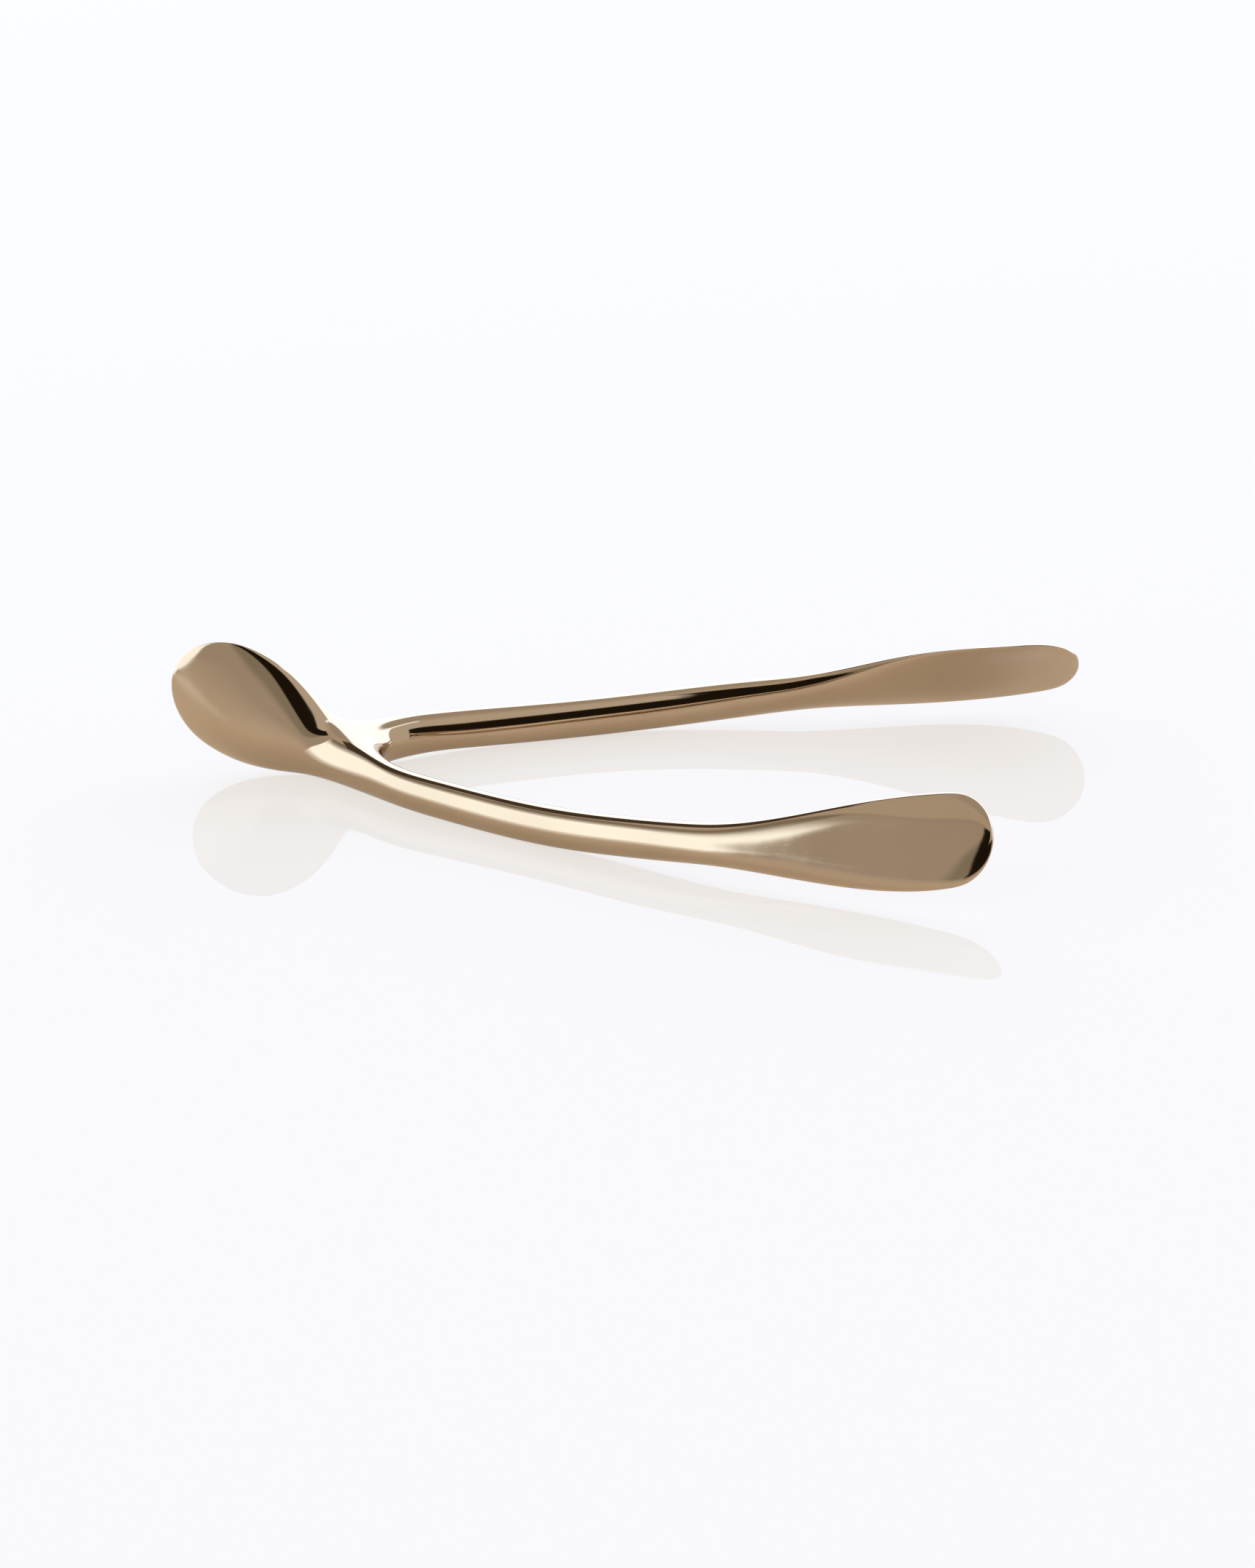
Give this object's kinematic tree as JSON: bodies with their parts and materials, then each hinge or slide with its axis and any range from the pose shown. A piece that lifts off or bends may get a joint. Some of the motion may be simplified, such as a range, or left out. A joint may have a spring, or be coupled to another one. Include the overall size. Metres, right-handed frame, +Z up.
{
  "type": "ice tongs",
  "caption": "Wishbone ice tongs: an upright oval handle leaf, a forked neck and two sprung, bowed arms ending in flattened, inward-leaning scoops.",
  "frame": {"origin": "on the table, under the middle of the tongs' bounding box", "axes": "+X from the handle leaf to the scoops, +Y to the left arm, +Z up off the table"},
  "size_m": [0.1656, 0.0808, 0.0269],
  "materials": {
    "rose_bronze": "mirror polished"
  },
  "bodies": {
    "handle": {"handle_leaf": "rose_bronze", "neck": "rose_bronze"},
    "left_limb": {"left_arm": "rose_bronze", "left_scoop": "rose_bronze"},
    "right_limb": {"right_arm": "rose_bronze", "right_scoop": "rose_bronze"}
  },
  "joints": [
    {"name": "left_flex", "type": "hinge", "parent": "handle", "child": "left_limb", "pos_m": [-0.03505, 0.0118, 0.0044], "axis": [0, 0, -1], "range_deg": [-3, 15], "stiffness_Nm_per_rad": 3.6},
    {"name": "right_flex", "type": "hinge", "parent": "handle", "child": "right_limb", "pos_m": [-0.03505, -0.0118, 0.0044], "axis": [0, 0, 1], "range_deg": [-3, 15], "stiffness_Nm_per_rad": 3.6}
  ]
}
